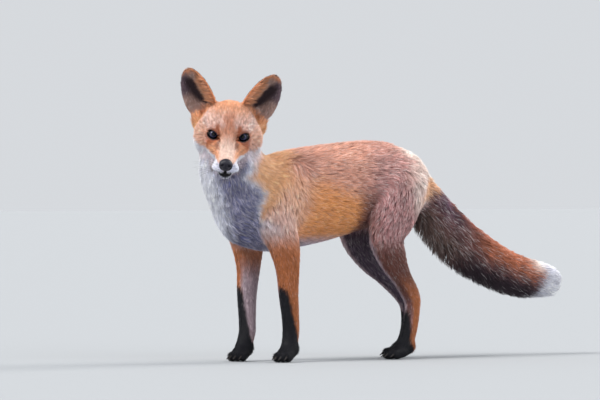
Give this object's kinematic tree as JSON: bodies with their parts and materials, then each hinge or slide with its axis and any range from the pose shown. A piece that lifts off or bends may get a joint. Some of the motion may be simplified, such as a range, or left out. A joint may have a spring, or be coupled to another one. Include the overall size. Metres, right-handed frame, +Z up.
{
  "type": "red fox",
  "caption": "Life-size standing red fox, head turned to its left, brush hanging behind; a still display animal that rests on its own feet.",
  "frame": {"origin": "middle of the bounding box seen from above, at the level of the soles", "axes": "+Z up, -Y the way the body faces, +X the fox's own left side"},
  "size_m": [0.1884, 0.8348, 0.5132],
  "materials": {
    "bib_coat": "longer grey-white fur",
    "claw": "dark horn",
    "ear_coat": "thin velvety fur, dark at the rim and behind",
    "eye": "clear and wet, amber-brown iris",
    "nose_leather": "moist pebbled skin",
    "red_coat": "short orange-red fur lying along the body",
    "stocking_coat": "short dark fur",
    "tail_coat": "long brown-grey brush",
    "tail_tip_coat": "long fur paling to white",
    "white_coat": "short white fur"
  },
  "bodies": {
    "root": {"claw_fore_left_1": "claw", "claw_fore_left_2": "claw", "claw_fore_left_3": "claw", "claw_fore_left_4": "claw", "claw_fore_right_1": "claw", "claw_fore_right_2": "claw", "claw_fore_right_3": "claw", "claw_fore_right_4": "claw", "claw_hind_left_1": "claw", "claw_hind_left_2": "claw", "claw_hind_left_3": "claw", "claw_hind_left_4": "claw", "claw_hind_right_1": "claw", "claw_hind_right_2": "claw", "claw_hind_right_3": "claw", "claw_hind_right_4": "claw", "ear_left": "ear_coat", "ear_right": "ear_coat", "eye_left": "eye", "eye_right": "eye", "forearm_left": "stocking_coat", "forearm_right": "stocking_coat", "forepaw_left": "stocking_coat", "forepaw_right": "stocking_coat", "head": "red_coat", "hindpaw_left": "stocking_coat", "hindpaw_right": "stocking_coat", "jaw": "white_coat", "metatarsus_left": "stocking_coat", "metatarsus_right": "stocking_coat", "neck": "bib_coat", "nose": "nose_leather", "shank_left": "red_coat", "shank_right": "red_coat", "shoulder_left": "red_coat", "shoulder_right": "red_coat", "tail_middle": "tail_coat", "tail_root": "tail_coat", "tail_tip": "tail_tip_coat", "thigh_left": "red_coat", "thigh_right": "red_coat", "trunk": "red_coat"}
  },
  "joints": []
}
